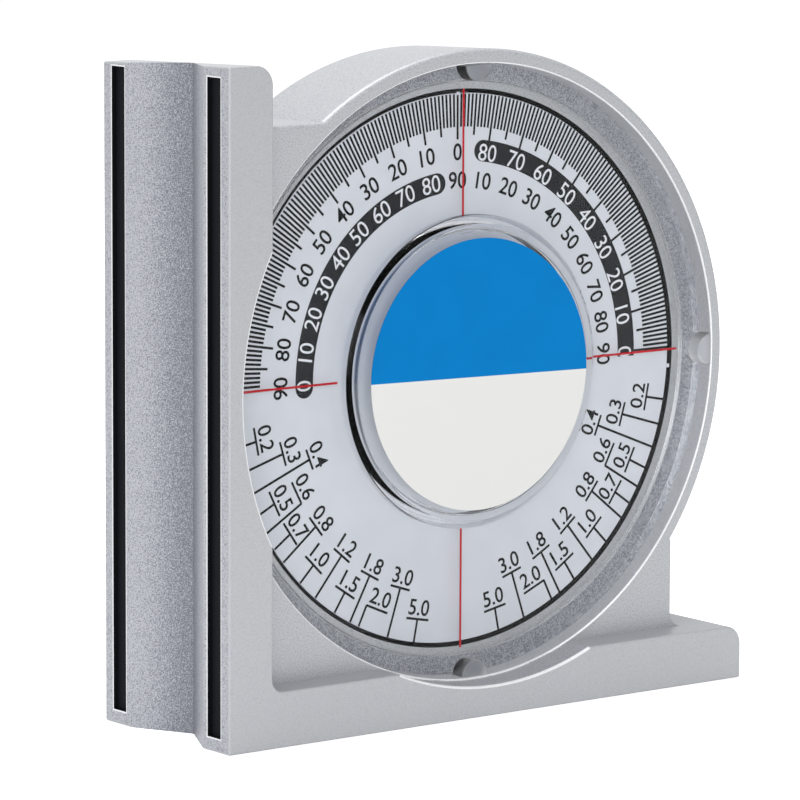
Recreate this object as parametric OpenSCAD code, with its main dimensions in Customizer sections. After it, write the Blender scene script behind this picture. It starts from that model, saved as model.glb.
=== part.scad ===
// Magnetic angle finder: a weighted dial that hangs level inside a round case,
// read against fixed cross lines. The case stands on a flat magnetic foot, and
// its tall side has a V groove between two magnetic rails for pipes and bars.
// Millimetres. +Z is up, the dial faces -Y, and the origin is at the middle of
// the underside.

/* [Case] */
// Width over the foot
body_w = 99; // [90:0.5:120]
// Depth of the foot and of the side rails
body_d = 32; // [28:0.5:45]
// Height of the upright side at the middle of its depth
side_h = 100; // [94:0.5:120]
// Thickness of the upright side
side_w = 7.9; // [7:0.1:12]
// Height of the foot
foot_h = 8.4; // [7.5:0.1:12]
// Outer corner radius of the side and the foot
corner_r = 3; // [1:0.1:5]
// Fillet between the side and the foot
inner_r = 2; // [0.5:0.1:4]
// How much wider than the window's recess the side and the foot are cut out
scoop_step = 0.3; // [0.1:0.1:0.8]
// How far the round case is set back from the front and the rear of the foot
case_inset = 5.2; // [3:0.1:6.5]
// Radius of the round case
case_r = 49; // [48.5:0.1:52]
// Rounding of the case's front edge and of the web's edges
case_edge_r = 0.8; // [0.3:0.1:1.5]
// Rounding of the case's rear edge
rear_edge_r = 4; // [1:0.1:4.5]
// Draft of the round case, of the web's top and of the side's top, in degrees
draft = 2.15; // [0:0.05:3]
// How far the foot reaches past the round case
foot_over = 0.2; // [0:0.1:10]
// Height of the round case's lowest point above the underside
case_lift = 2.8; // [1.5:0.1:6]
// Height of the flat top of the web beside the round case
web_top = 91.3; // [80:0.1:93]
// Distance of the web's right edge from the side's outer face
web_right = 88.7; // [80:0.1:94]
// Fillet at the foot of the web's right edge
web_fillet_r = 2.3; // [0.5:0.1:4]

/* [Dial window] */
// Width of the rim around the window's recess
rim_w = 2.2; // [1.8:0.1:4]
// Depth of that recess below the case's front face
recess_depth = 5.7; // [4.5:0.1:7]
// Width of the ledge that the window seats on
ledge_w = 3.8; // [3.2:0.1:6]

/* [Lens] */
// How far the window lies below the case's front face
lens_sink = 2.4; // [1:0.1:3]
// Thickness of the window
lens_t = 2.2; // [1.5:0.1:2.6]
// Width of the skirt that seats on the recess
skirt_w = 2.6; // [1.5:0.1:3.2]
// Gap between the lens and the recess wall
lens_gap = 0.2; // [0.05:0.05:0.5]
// Radius of the raised middle at its base
boss_base_r = 24; // [22:0.1:28]
// Radius of the raised middle at its top
boss_top_r = 21.6; // [21:0.1:21.9]
// Wall of the raised middle
boss_wall = 2; // [1.2:0.1:2.1]
// Radius of the half-round locating posts on the rim
post_r = 2.4; // [1.5:0.1:3]
// Width of the bare edge around the centre label
label_edge = 1; // [0.3:0.1:4]
// Thickness of the centre label
label_t = 0.12; // [0.05:0.01:0.3]

/* [Cross lines] */
// How far the cross lines reach past the dial's edge
hair_over = 0.3; // [0:0.1:1]
// Gap between the cross lines and the raised middle
hair_gap = 0.4; // [0.1:0.1:4]
// Width of a cross line
hair_w = 0.32; // [0.2:0.02:0.6]
// Depth of paint in a cross line
hair_t = 0.1; // [0.05:0.01:0.2]

/* [Dial] */
// Gap round the dial
dial_gap = 1; // [0.6:0.1:2]
// Distance of the dial's printed face behind the case's front face
dial_depth = 6; // [5.5:0.1:7]
// Thickness of the printed sheet
face_t = 0.2; // [0.1:0.05:0.4]
// Thickness of the disc that carries it
disc_t = 1; // [0.8:0.1:1.5]

/* [Counterweight] */
// Gap between the counterweight and the screw pillars
weight_gap = 1.5; // [0.8:0.1:6]
// Inner radius of the counterweight
weight_inner_r = 19; // [14:0.1:24]
// Angle that the counterweight spans, in degrees
weight_span = 140; // [90:5:170]
// Thickness of the counterweight
weight_t = 4; // [2:0.1:6]
// Shank radius of the counterweight rivets
rivet_r = 1.5; // [1:0.1:2]
// Head radius of the counterweight rivets
rivet_head_r = 2.6; // [2.3:0.1:3.2]
// Head thickness of the counterweight rivets
rivet_head_t = 0.9; // [0.5:0.1:1.2]

/* [Axle and bearings] */
// Radius of the axle
axle_r = 1; // [0.8:0.1:1.4]
// Radial running clearance of the axle in its bearings
running_gap = 0.03; // [0.01:0.01:0.08]
// Radius of the hub's barrel
hub_r = 3; // [2.4:0.1:4]
// Radius of the hub's flange
hub_flange_r = 7; // [5:0.1:9]
// Thickness of the hub's flange
hub_flange_t = 1; // [0.6:0.1:1.5]
// Length of the hub's barrel behind its flange
hub_tail = 2.6; // [1.5:0.1:3]
// Outer radius of the bearing bushes
bush_r = 2.5; // [2.2:0.1:3]
// Length of the front bearing bush
front_bush_l = 2.2; // [1.5:0.1:2.4]
// Length of the rear bearing bush
rear_bush_l = 3; // [2:0.1:4]
// Wall round the bearing bushes
socket_wall = 2; // [1.5:0.1:3]
// Radius of the thrust washers
washer_r = 2.2; // [1.8:0.1:2.9]
// Thickness of the thrust washers
washer_t = 0.25; // [0.15:0.05:0.4]
// Outer radius of the axle's retaining clip
clip_r = 2.3; // [2:0.1:2.9]
// Thickness of the retaining clip
clip_t = 0.5; // [0.4:0.05:0.8]
// Depth of the clip's groove in the axle
clip_groove = 0.3; // [0.2:0.05:0.4]
// Mouth of the retaining clip
clip_mouth = 1.2; // [0.8:0.1:1.4]

/* [Rear cover] */
// Width of the ledge that the rear cover seats on
cover_lap = 2.4; // [1.5:0.1:3.4]
// Thickness of the rear cover
cover_t = 2.2; // [1.8:0.1:3]
// How far the rear cover lies below the case's rear face
cover_sink = 0.3; // [0.1:0.1:1]
// How far a screw pillar runs into the case's wall
pillar_bite = 0.8; // [0.5:0.1:1.5]
// Shank radius of the cover screws
screw_r = 1.4; // [1:0.1:1.6]
// Head radius of the cover screws
screw_head_r = 2.6; // [2.2:0.1:2.8]
// Length of the cover screws
screw_l = 9; // [6:0.5:10]
// Radius of the screw pillars inside the case
pillar_r = 3.4; // [2.8:0.1:4]
// Length of the screw pillars
pillar_l = 9; // [8:0.5:10]

/* [Magnets and groove] */
// Width of the V groove in the side
groove_w = 19; // [12:0.5:19.5]
// Depth of the V groove in the side
groove_depth = 4.85; // [3:0.05:5.5]
// Flat at the bottom of the V groove
groove_floor = 0.5; // [0.2:0.1:2]
// Width of a magnet slot
slot_w = 3.3; // [2.5:0.1:3.5]
// Depth of a magnet slot
slot_depth = 2.2; // [1.6:0.1:2.4]
// Distance of a magnet slot from the front or rear edge
slot_edge = 2.2; // [1.5:0.1:2.4]
// Distance of a side slot from the underside
slot_low = 2.1; // [1:0.1:5]
// Distance of a side slot from the top
slot_high = 1.1; // [0.8:0.1:4]
// Distance of a foot slot from the foot's ends
slot_end = 9; // [8.5:0.5:15]
// How far a magnet lies below the face
magnet_sink = 0.8; // [0.2:0.1:1]
// Gap round a magnet in its slot
magnet_gap = 0.05; // [0.02:0.01:0.2]

/* [Hidden] */

$fn = 96;
rod_fn = 48;           // sides of a small round, such as a screw or a rounded edge
eps = 0.01;            // overlap of pieces that are fused, and overrun of cuts
seat_gap = 0.02;       // gap of a piece that is glued or pressed into its seat
play = 0.12;           // end play between the turning and the fixed pieces
end_gap = 0.2;         // gap from an end of the axle to the end of its bush
clip_gap = 0.1;        // gap between the hub and the retaining clip
hub_proud = 0.5;       // how far the hub stands out of the dial's printed face
rivet_share = 0.36;    // angle of an outer rivet from the middle, as a share of the counterweight's span
pilot_floor = 1;       // material left under a screw's pilot hole
screw_gap = 0.2;       // gap round a cover screw in its clearance hole
cross_l = 3;           // length of one arm of a screw's cross recess
cross_w = 0.6;         // width of that arm
cross_d = 1;           // depth of the cross recess
quarter_turns = [0, 90, 180, 270];

left = -body_w / 2;
front = -body_d / 2;
rear = body_d / 2;
ax = left + body_w - foot_over - case_r;
axis_z = case_lift + case_r;
side_stock_h = side_h + body_d * tan(draft);    // the side's height before its top is cut to the draft

case_front = front + case_inset;
case_rear = rear - case_inset;
recess_r = case_r - rim_w;
scoop_r = recess_r + scoop_step;
opening_r = recess_r - ledge_w;
ledge_y = case_front + recess_depth;
web_meet_z = axis_z - sqrt(pow(case_r, 2) - pow(left + web_right - ax, 2));
case_d = case_rear - case_front;
// The centre of the rear rounding, which touches the rear face and the tapered outside
round_y = case_rear - rear_edge_r;
round_r = case_r - rear_edge_r * cos(draft) - tan(draft) * (round_y + rear_edge_r * sin(draft) - case_front);

window_y = case_front + lens_sink;
window_back = window_y + lens_t;
lens_r = recess_r - lens_gap;
boss_back = case_front + boss_wall;
label_r = boss_top_r - label_edge;

dial_r = opening_r - dial_gap;
hair_outer_r = dial_r + hair_over;
hair_inner_r = boss_base_r + hair_gap;
face_y = case_front + dial_depth;
disc_y = face_y + face_t;
disc_back = disc_y + disc_t;
flange_back = disc_back + hub_flange_t;
hub_front = face_y - hub_proud;
hub_back = flange_back + hub_tail;
weight_back = disc_back + weight_t;
screw_ring_r = opening_r - pillar_r + pillar_bite;
weight_outer_r = screw_ring_r - pillar_r - weight_gap;
rivet_ring_r = (weight_outer_r + weight_inner_r) / 2;
rivet_angles = [-weight_span * rivet_share, 0, weight_span * rivet_share];

front_washer_y = hub_front - washer_t;
front_bush_back = front_washer_y - play;
front_bush_y = front_bush_back - front_bush_l;
socket_r = bush_r + socket_wall;

clip_y = hub_back + clip_gap;
rear_washer_y = clip_y + clip_t + seat_gap;
rear_bush_y = rear_washer_y + washer_t + play;
rear_bush_back = rear_bush_y + rear_bush_l;
axle_front = front_bush_y + end_gap;
axle_back = rear_bush_back - end_gap;
groove_r = axle_r - clip_groove;

cover_r = opening_r + cover_lap;
cover_back = case_rear - cover_sink;
cover_y = cover_back - cover_t;
screw_angles = [45, 135, 225, 315];
screw_head_h = screw_head_r - screw_r;

magnet_w = slot_w - 2 * magnet_gap;
magnet_t = slot_depth - magnet_sink - magnet_gap;
rail_slots = [front + slot_edge, rear - slot_edge - slot_w];

// A solid of revolution about the dial axis. Its 2D points are [radius, distance behind the front face].
module turned() {
    translate([ax, 0, axis_z])
        rotate([-90, 0, 0])
            rotate_extrude()
                children();
}

// A plain disc or tube about the dial axis, from y0 to y1.
module ring(y0, y1, r_out, r_in = 0) {
    translate([ax, y0, axis_z])
        rotate([-90, 0, 0])
            difference() {
                cylinder(r = r_out, h = y1 - y0);
                if (r_in > 0) translate([0, 0, -eps]) cylinder(r = r_in, h = y1 - y0 + 2 * eps);
            }
}

// Puts children at a radius and an angle, clockwise from the top, on the dial axis.
module around(r, angle) {
    translate([ax + r * sin(angle), 0, axis_z + r * cos(angle)])
        children();
}

// A straight rod along Y.
module rod(y0, y1, r) {
    translate([0, y0, 0])
        rotate([-90, 0, 0])
            cylinder(r = r, h = y1 - y0, $fn = rod_fn);
}

// The stuff of a corner at the origin, outside a rod of radius r that touches both its sides.
// It fills an inner corner as a fillet, and is cut from an outer corner to round it.
module corner(r, y0, y1) {
    difference() {
        translate([-eps, y0, -eps]) cube([r + eps, y1 - y0, r + eps]);
        translate([r, 0, r]) rod(y0 - eps, y1 + eps, r);
    }
}

// The same for the outer corner at the top right of a plate, at (x, z), through more than the whole depth.
module top_right_corner(x, z) {
    translate([x, 0, z]) rotate([0, 180, 0]) corner(corner_r, front - corner_r, rear + corner_r);
}

// What rounds the outer rim of a turned piece: a 2D corner at the origin, with the piece at -X and +Y.
module rim_corner(r) {
    difference() {
        translate([-r, -eps]) square([r + eps, r + eps]);
        translate([-r, r]) circle(r = r, $fn = rod_fn);
    }
}

// The upright side and the foot, cut out around the dial in front of and behind the round case.
module frame_shape() {
    difference() {
        union() {
            translate([left, front, 0]) cube([side_w, body_d, side_stock_h]);
            translate([left, front, 0]) cube([body_w, body_d, foot_h]);
            translate([left + side_w, 0, foot_h]) corner(inner_r, front, rear);
        }
        translate([0, 0, side_h]) rotate([-draft, 0, 0]) {
            top_right_corner(left + side_w, 0);
            translate([left - eps, -body_d, 0]) cube([side_w + 2 * eps, 2 * body_d, body_d]);
        }
        top_right_corner(left + body_w, foot_h);
        ring(front - eps, case_front, scoop_r);
        ring(case_rear, rear + eps, scoop_r);
    }
}

// The round case itself, before it is hollowed. Its outside tapers towards the rear.
module drum() {
    turned() difference() {
        union() {
            polygon([[0, case_front], [case_r, case_front],
                     [round_r + rear_edge_r * cos(draft), round_y + rear_edge_r * sin(draft)],
                     [round_r, round_y], [round_r, case_rear], [0, case_rear]]);
            translate([round_r, round_y]) circle(r = rear_edge_r);
        }
        translate([case_r, case_front]) rim_corner(case_edge_r);
    }
}

// What is cut from the front edge of the web's flat top to round it.
module web_edge() {
    translate([left, case_front, web_top]) rotate([90, 0, 90])
        linear_extrude(body_w) rotate(180) rim_corner(case_edge_r);
}

// The block that fills the corners between the side, the foot and the round case.
module web() {
    difference() {
        translate([left + side_w - eps, case_front, foot_h - eps])
            cube([ax - left - side_w, case_d, web_top - foot_h + eps]);
        web_edge();
        translate([left, case_front + case_edge_r, web_top])
            rotate([-draft, 0, 0])
                cube([body_w, 2 * case_d, case_d]);
    }
    translate([ax, case_front, foot_h - eps])
        cube([left + web_right - ax, case_d, web_meet_z - foot_h + case_edge_r]);
    translate([left + web_right, 0, foot_h]) corner(web_fillet_r, case_front, case_rear);
}

// A V groove along the side, opening to -X.
module side_groove() {
    translate([left, 0, -eps])
        linear_extrude(side_stock_h + 2 * eps)
            polygon([[-eps, -groove_w / 2], [groove_depth, -groove_floor / 2],
                     [groove_depth, groove_floor / 2], [-eps, groove_w / 2]]);
}

module side_slots(y) {
    translate([left - eps, y, slot_low])
        cube([slot_depth + eps, slot_w, side_h - slot_low - slot_high]);
}

module foot_slots(y) {
    translate([left + slot_end, y, -eps])
        cube([body_w - 2 * slot_end, slot_w, slot_depth + eps]);
}

module housing() {
    color("#adb0b5") difference() {
        union() {
            frame_shape();
            drum();
            web();
        }
        ring(case_front - eps, ledge_y, recess_r);
        difference() {
            ring(ledge_y - eps, cover_y + eps, opening_r);
            for (a = screw_angles)
                around(screw_ring_r, a) rod(cover_y - pillar_l, cover_y + 2 * eps, pillar_r);
        }
        ring(cover_y, case_rear + eps, cover_r + seat_gap);
        for (a = screw_angles)
            around(screw_ring_r, a)
                rod(cover_y - pillar_l + pilot_floor, cover_y + eps, screw_r + seat_gap);
        side_groove();
        for (y = rail_slots) {
            side_slots(y);
            foot_slots(y);
        }
    }
}

module lens() {
    color("#dfe6ea", 0.35) {
        turned() polygon([
            [0, case_front], [boss_top_r, case_front], [boss_base_r, window_y], [lens_r, window_y],
            [lens_r, ledge_y], [lens_r - skirt_w, ledge_y], [lens_r - skirt_w, window_back],
            [boss_base_r - boss_wall, window_back], [boss_top_r - boss_wall, boss_back],
            [socket_r, boss_back], [socket_r, front_bush_back], [bush_r + seat_gap, front_bush_back],
            [bush_r + seat_gap, front_bush_y], [0, front_bush_y]]);
        for (a = quarter_turns)
            intersection() {
                around(lens_r, a) rod(case_front, window_y + eps, post_r);
                ring(case_front, window_y + eps, lens_r);
            }
    }
}

module cross_lines() {
    color("#c8202a")
        for (a = quarter_turns)
            translate([ax, window_back, axis_z])
                rotate([0, a, 0])
                    translate([-hair_w / 2, 0, hair_inner_r])
                        cube([hair_w, hair_t, hair_outer_r - hair_inner_r]);
}

module centre_label() {
    color("#1a8bd0")
        ring(case_front - label_t, case_front, label_r);
}

module front_bearing() {
    color("#b8923c") ring(front_bush_y + seat_gap, front_bush_back, bush_r, axle_r + running_gap);
}

module rear_cover() {
    color("#a5a7aa") difference() {
        union() {
            ring(cover_y, cover_back, cover_r);
            ring(rear_bush_y, cover_y + eps, socket_r);
        }
        ring(rear_bush_y - eps, rear_bush_back, bush_r + seat_gap);
        for (a = screw_angles)
            around(screw_ring_r, a) {
                rod(cover_y - eps, cover_back + eps, screw_r + screw_gap);
                translate([0, cover_back, 0]) rotate([90, 0, 0])
                    cylinder(r1 = screw_head_r + seat_gap, r2 = screw_r + screw_gap,
                             h = screw_head_h - screw_gap + seat_gap, $fn = rod_fn);
            }
    }
}

module rear_cover_screws() {
    color("#8d9094")
        for (a = screw_angles)
            around(screw_ring_r, a) difference() {
                union() {
                    rod(cover_back - screw_l, cover_back - eps, screw_r);
                    translate([0, cover_back - eps, 0]) rotate([90, 0, 0])
                        cylinder(r1 = screw_head_r, r2 = screw_r, h = screw_head_h, $fn = rod_fn);
                }
                for (t = [45, 135])
                    rotate([0, t, 0])
                        translate([-cross_l / 2, cover_back - cross_d, -cross_w / 2])
                            cube([cross_l, cross_d + eps, cross_w]);
            }
}

module rear_bearing() {
    color("#b8923c") ring(rear_bush_y, rear_bush_back - seat_gap, bush_r, axle_r + running_gap);
}

module side_magnet(y) {
    color("#17181b") translate([left + magnet_sink, y + magnet_gap, slot_low + magnet_gap])
        cube([magnet_t, magnet_w, side_h - slot_low - slot_high - 2 * magnet_gap]);
}

module base_magnet(y) {
    color("#17181b") translate([left + slot_end + magnet_gap, y + magnet_gap, magnet_sink])
        cube([body_w - 2 * slot_end - 2 * magnet_gap, magnet_w, magnet_t]);
}

module side_magnet_front() { side_magnet(rail_slots[0]); }
module side_magnet_rear() { side_magnet(rail_slots[1]); }
module base_magnet_front() { base_magnet(rail_slots[0]); }
module base_magnet_rear() { base_magnet(rail_slots[1]); }

module dial_face() {
    color("#d9dde6") ring(face_y, disc_y, dial_r, hub_r + seat_gap);
}

module dial_disc() {
    color("#c4c7cc") difference() {
        ring(disc_y, disc_back, dial_r, hub_r + seat_gap);
        for (a = rivet_angles)
            around(rivet_ring_r, 180 + a) rod(disc_y - eps, disc_back + eps, rivet_r + seat_gap);
    }
}

module counterweight() {
    color("#6f7378") difference() {
        translate([ax, disc_back, axis_z]) rotate([-90, 0, 0]) rotate([0, 0, 90 - weight_span / 2])
            rotate_extrude(angle = weight_span)
                translate([weight_inner_r, 0]) square([weight_outer_r - weight_inner_r, weight_t]);
        for (a = rivet_angles)
            around(rivet_ring_r, 180 + a) rod(disc_back - eps, weight_back + eps, rivet_r + seat_gap);
    }
}

module counterweight_rivets() {
    color("#b9bcc1")
        for (a = rivet_angles)
            around(rivet_ring_r, 180 + a) {
                rod(disc_y, weight_back + eps, rivet_r);
                rod(weight_back, weight_back + rivet_head_t, rivet_head_r);
            }
}

module dial_hub() {
    color("#b8923c") difference() {
        union() {
            ring(hub_front, hub_back, hub_r);
            ring(disc_back, flange_back, hub_flange_r);
        }
        ring(hub_front - eps, hub_back + eps, axle_r + seat_gap);
    }
}

module axle() {
    color("#cfd2d6") {
        ring(axle_front, clip_y, axle_r);
        ring(clip_y - eps, clip_y + clip_t + eps, groove_r);
        ring(clip_y + clip_t, axle_back, axle_r);
    }
}

module axle_clip() {
    color("#5d6166") difference() {
        ring(clip_y + seat_gap, clip_y + clip_t - seat_gap, clip_r, groove_r + seat_gap);
        translate([ax - clip_mouth / 2, clip_y - eps, axis_z])
            cube([clip_mouth, clip_t + 2 * eps, clip_r + eps]);
    }
}

module front_thrust_washer() {
    color("#e6e2d3") ring(front_washer_y, hub_front, washer_r, axle_r + running_gap);
}

module rear_thrust_washer() {
    color("#e6e2d3") ring(rear_washer_y, rear_washer_y + washer_t, washer_r, axle_r + running_gap);
}

housing();
lens();
cross_lines();
centre_label();
front_bearing();
rear_cover();
rear_cover_screws();
rear_bearing();
side_magnet_front();
side_magnet_rear();
base_magnet_front();
base_magnet_rear();
dial_face();
dial_disc();
counterweight();
counterweight_rivets();
dial_hub();
axle();
axle_clip();
front_thrust_washer();
rear_thrust_washer();
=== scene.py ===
# %% [markdown]
# # A magnetic angle finder
# A weighted dial swings in a round case, and red cross lines on the window are read against it. The packed
# model gives every piece its place. This lesson dresses that model: it rebuilds the moulded case and the clear
# window with their rounded edges, prints the scale, and gives each piece the finish of the real one.

# %% The frame
import math

import bmesh
import bpy
from mathutils import Matrix, Vector


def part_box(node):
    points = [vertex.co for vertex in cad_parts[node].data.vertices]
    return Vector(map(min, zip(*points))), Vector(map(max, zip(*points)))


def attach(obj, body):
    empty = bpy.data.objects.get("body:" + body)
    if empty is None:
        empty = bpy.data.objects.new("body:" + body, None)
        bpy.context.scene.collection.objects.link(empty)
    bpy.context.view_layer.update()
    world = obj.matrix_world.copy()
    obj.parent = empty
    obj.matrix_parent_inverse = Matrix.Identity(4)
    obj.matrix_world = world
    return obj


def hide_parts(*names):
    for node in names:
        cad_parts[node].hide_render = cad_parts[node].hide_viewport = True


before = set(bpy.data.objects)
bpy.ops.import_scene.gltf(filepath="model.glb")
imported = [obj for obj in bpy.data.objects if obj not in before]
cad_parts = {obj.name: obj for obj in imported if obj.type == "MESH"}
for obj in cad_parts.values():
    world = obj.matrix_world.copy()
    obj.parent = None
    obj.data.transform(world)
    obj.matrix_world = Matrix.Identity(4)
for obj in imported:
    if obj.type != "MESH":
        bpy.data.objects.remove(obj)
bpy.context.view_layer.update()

print("pieces in the frame:", len(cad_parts))

# %% [markdown]
# ## Measurements
# Modelling is done in millimetres, because the cutting tools work best on shapes of that size, and each
# finished piece is then brought to metres. Most sizes are read from the frame, so that they follow it. The rest
# are the case's own wall and edge sizes.

# %% Sizes in millimetres
MM = 0.001


def box_mm(node):
    """The lowest and highest corner of a node of the frame, in millimetres."""
    return tuple(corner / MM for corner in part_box(node))


house_low, house_high = box_mm("housing")
lens_low, lens_high = box_mm("lens")
cover_low, cover_high = box_mm("rear_cover")
dial_low, dial_high = box_mm("dial_face")
label_low, label_high = box_mm("centre_label")

LEFT, RIGHT = house_low.x, house_high.x
FRONT, REAR = house_low.y, house_high.y
AXIS_X = (lens_low.x + lens_high.x) / 2
AXIS_Z = (lens_low.z + lens_high.z) / 2
CASE_FRONT, CASE_REAR = lens_low.y, -lens_low.y
CASE_R = 49.0
DIAL_R = (dial_high.x - dial_low.x) / 2
DIAL_Y = dial_low.y
LENS_R = (lens_high.x - lens_low.x) / 2
COVER_R = (cover_high.x - cover_low.x) / 2
LABEL_R = (label_high.x - label_low.x) / 2

SIDE_W, SIDE_H = 7.9, 100.0
FOOT_H = 8.4
CORNER_R, INNER_R = 3.0, 2.0
WEB_TOP = 91.3
WEB_RIGHT = LEFT + 88.7
WEB_FILLET_R = 2.3
LENS_GAP, SCOOP_GAP, DIAL_GAP, SEAT_GAP = 0.2, 0.3, 0.5, 0.02
SKIRT_T, COVER_T = 2.6, 2.2
RECESS_R = LENS_R + LENS_GAP
SCOOP_R = RECESS_R + SCOOP_GAP
OPENING_R = DIAL_R + DIAL_GAP
LEDGE_Y = lens_high.y
COVER_Y = cover_high.y - COVER_T
print("dial axis at", round(AXIS_X, 2), round(AXIS_Z, 2), "and dial radius", round(DIAL_R, 2))

# %% [markdown]
# ## Hands at the bench
# These few helpers do by code what a modeller does by hand: select by place, extrude, and cut one shape with
# another.

# %% Helpers for modelling
def deselect():
    """Leaves edit mode and deselects everything."""
    if bpy.context.object and bpy.context.object.mode != "OBJECT":
        bpy.ops.object.mode_set(mode="OBJECT")
    bpy.ops.object.select_all(action="DESELECT")


def pick(piece):
    """Makes one piece the only selected and active object."""
    deselect()
    piece.select_set(True)
    bpy.context.view_layer.objects.active = piece
    return piece


def newest(name):
    """Names the primitive that was just added."""
    piece = bpy.context.object
    piece.name = name
    piece.data.name = name
    return piece


def block(name, low, high):
    """A box between two corners."""
    deselect()
    low, high = Vector(low), Vector(high)
    bpy.ops.mesh.primitive_cube_add(size=1, location=(low + high) / 2, scale=high - low)
    piece = newest(name)
    bpy.ops.object.transform_apply(location=True, rotation=True, scale=True)
    return piece


def choose(piece, edges=None, faces=None):
    """In edit mode, selects the edges or faces for which the rule is true."""
    mesh = bmesh.from_edit_mesh(piece.data)
    for part in (*mesh.verts, *mesh.edges, *mesh.faces):
        part.select_set(False)
    parts, rule = (mesh.edges, edges) if edges else (mesh.faces, faces)
    chosen = [part for part in parts if rule(part)]
    for part in chosen:
        part.select_set(True)
    bmesh.update_edit_mesh(piece.data)
    return len(chosen)


def turned(name, outline, sides=512, ring=True):
    """A solid of revolution about the dial axis. The outline holds (radius, y) points. With ring it closes on
    itself, and otherwise its two ends are capped."""
    deselect()
    radius, y = outline[0]
    bpy.ops.mesh.primitive_circle_add(
        vertices=sides, radius=radius, location=(AXIS_X, y, AXIS_Z), rotation=(math.pi / 2, 0, 0))
    piece = newest(name)
    bpy.ops.object.transform_apply(location=True, rotation=True, scale=True)
    bpy.ops.object.mode_set(mode="EDIT")
    if not ring:
        bpy.ops.mesh.edge_face_add()
        choose(piece, edges=lambda edge: True)
    steps = outline[1:] + (outline[:1] if ring else [])
    for next_radius, next_y in steps:
        bpy.ops.mesh.extrude_edges_move(TRANSFORM_OT_translate={"value": (0, next_y - y, 0)})
        scale = next_radius / radius
        bpy.ops.transform.resize(value=(scale, 1, scale), center_override=(AXIS_X, next_y, AXIS_Z))
        radius, y = next_radius, next_y
    if not ring:
        bpy.ops.mesh.edge_face_add()
    bpy.ops.mesh.select_all(action="SELECT")
    bpy.ops.mesh.remove_doubles(threshold=1e-4)
    bpy.ops.mesh.normals_make_consistent(inside=False)
    bpy.ops.object.mode_set(mode="OBJECT")
    return piece


def rod(name, radius, x, z, low_y, high_y, end_radius=None, sides=64):
    """A straight or tapered rod along Y; end_radius is its radius at high_y."""
    deselect()
    bpy.ops.mesh.primitive_cone_add(
        vertices=sides, radius1=end_radius or radius, radius2=radius, depth=high_y - low_y,
        location=(x, (low_y + high_y) / 2, z), rotation=(math.pi / 2, 0, 0))
    piece = newest(name)
    bpy.ops.object.transform_apply(location=True, rotation=True, scale=True)
    return piece


def combine(piece, tool, how="DIFFERENCE"):
    """Cuts tool from piece, or fuses it on, and removes it. Cut faces take the tool's material."""
    pick(piece)
    change = piece.modifiers.new("combine", "BOOLEAN")
    change.operation, change.solver, change.object = how, "EXACT", tool
    change.material_mode = "TRANSFER"
    bpy.ops.object.modifier_apply(modifier=change.name)
    bpy.data.objects.remove(tool)
    return piece


def leaks(piece):
    """How many edges of a piece don't join exactly two faces; a closed solid has none."""
    mesh = bmesh.new()
    mesh.from_mesh(piece.data)
    count = sum(len(edge.link_faces) != 2 for edge in mesh.edges)
    mesh.free()
    return count


def around(radius, angle):
    """The x and z of a point on a circle about the dial axis, clockwise from the top."""
    turn = math.radians(angle)
    return AXIS_X + radius * math.sin(turn), AXIS_Z + radius * math.cos(turn)


print("helpers ready")

# %% [markdown]
# ## Colours and nodes
# Colours are written as the hex values that a paint chart would give, and one function turns them to linear
# light. Another adds a shader node with its settings and links.

# %% Helpers for finishes
def colour(code):
    """An sRGB hex value as the linear colour that a shader takes."""
    values = [int(code[i:i + 2], 16) / 255 for i in (0, 2, 4)]
    return tuple(v / 12.92 if v <= 0.04045 else ((v + 0.055) / 1.055) ** 2.4 for v in values) + (1.0,)


def add(tree, kind, values=None, links=None, **settings):
    """Adds a node: settings are its own options, values set its sockets, and links feed them."""
    node = tree.nodes.new(kind)
    for key, value in settings.items():
        setattr(node, key, value)
    for socket, value in (values or {}).items():
        node.inputs[socket].default_value = value
    for socket, source in (links or {}).items():
        tree.links.new(source, node.inputs[socket])
    return node


def blank(name):
    """A new material with an empty node tree."""
    material = bpy.data.materials.new(name)
    material.use_nodes = True
    material.node_tree.nodes.clear()
    return material, material.node_tree


def per_mm(size):
    """The scale of a noise whose features are about that many millimetres across."""
    return 1 / (size * MM)


print("grey paint as linear light:", [round(v, 3) for v in colour("ADB0B5")[:3]])
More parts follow.
